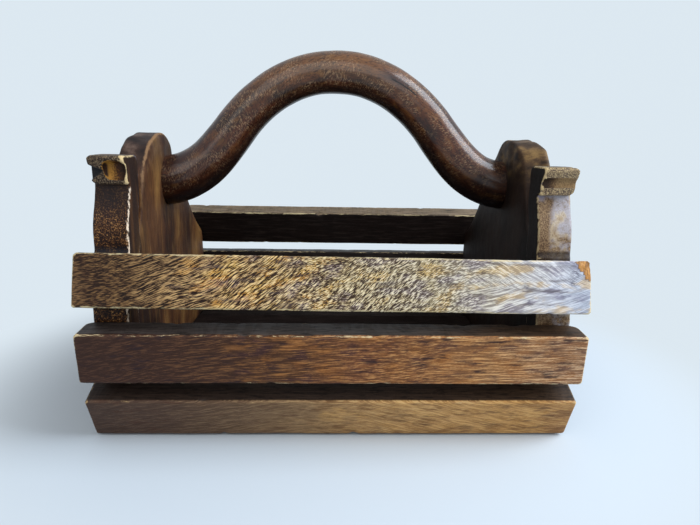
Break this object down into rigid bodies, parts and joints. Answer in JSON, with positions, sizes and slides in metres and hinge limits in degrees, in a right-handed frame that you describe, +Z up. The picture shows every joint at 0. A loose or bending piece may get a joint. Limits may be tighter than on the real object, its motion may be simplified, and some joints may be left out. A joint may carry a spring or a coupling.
{
  "type": "magazine holder",
  "caption": "Slatted dark-wood magazine holder with barrel-shaped sides, carved end boards with a slotted prong and scooped ear, and a swept carrying handle.",
  "frame": {"origin": "middle of the footprint, on the surface that the floor slats stand on", "axes": "+X along the slats, from the left end board to the right one; -Y towards the front, where the prongs and ears are; +Z up towards the handle"},
  "size_m": [0.38, 0.3142, 0.3155],
  "materials": {
    "board_wood": "near-black brown stained hardwood, satin, worn pale on the arrises",
    "handle_wood": "dark reddish-brown hardwood with fine pores, polished by the hand",
    "slat_wood": "dark reddish-brown stained hardwood, satin, with worn pale arrises",
    "worn_slat_wood": "weathered tan hardwood with short dark strokes of interlocked grain",
    "nail_steel": "dull, darkened"
  },
  "bodies": {
    "root": {"left_end_board": "board_wood", "right_end_board": "board_wood", "handle": "handle_wood", "front_top_slat": "worn_slat_wood", "front_top_slat_nail_1": "nail_steel", "front_top_slat_nail_2": "nail_steel", "front_top_slat_nail_3": "nail_steel", "front_top_slat_nail_4": "nail_steel", "front_middle_slat": "slat_wood", "front_middle_slat_nail_1": "nail_steel", "front_middle_slat_nail_2": "nail_steel", "front_middle_slat_nail_3": "nail_steel", "front_middle_slat_nail_4": "nail_steel", "front_bottom_slat": "slat_wood", "front_bottom_slat_nail_1": "nail_steel", "front_bottom_slat_nail_2": "nail_steel", "front_bottom_slat_nail_3": "nail_steel", "front_bottom_slat_nail_4": "nail_steel", "rear_top_slat": "worn_slat_wood", "rear_top_slat_nail_1": "nail_steel", "rear_top_slat_nail_2": "nail_steel", "rear_top_slat_nail_3": "nail_steel", "rear_top_slat_nail_4": "nail_steel", "rear_middle_slat": "slat_wood", "rear_middle_slat_nail_1": "nail_steel", "rear_middle_slat_nail_2": "nail_steel", "rear_middle_slat_nail_3": "nail_steel", "rear_middle_slat_nail_4": "nail_steel", "rear_bottom_slat": "slat_wood", "rear_bottom_slat_nail_1": "nail_steel", "rear_bottom_slat_nail_2": "nail_steel", "rear_bottom_slat_nail_3": "nail_steel", "rear_bottom_slat_nail_4": "nail_steel", "floor_slat_1": "slat_wood", "floor_slat_1_nail_1": "nail_steel", "floor_slat_1_nail_2": "nail_steel", "floor_slat_1_nail_3": "nail_steel", "floor_slat_1_nail_4": "nail_steel", "floor_slat_2": "slat_wood", "floor_slat_2_nail_1": "nail_steel", "floor_slat_2_nail_2": "nail_steel", "floor_slat_2_nail_3": "nail_steel", "floor_slat_2_nail_4": "nail_steel", "floor_slat_3": "slat_wood", "floor_slat_3_nail_1": "nail_steel", "floor_slat_3_nail_2": "nail_steel", "floor_slat_3_nail_3": "nail_steel", "floor_slat_3_nail_4": "nail_steel", "floor_slat_4": "slat_wood", "floor_slat_4_nail_1": "nail_steel", "floor_slat_4_nail_2": "nail_steel", "floor_slat_4_nail_3": "nail_steel", "floor_slat_4_nail_4": "nail_steel"}
  },
  "joints": []
}
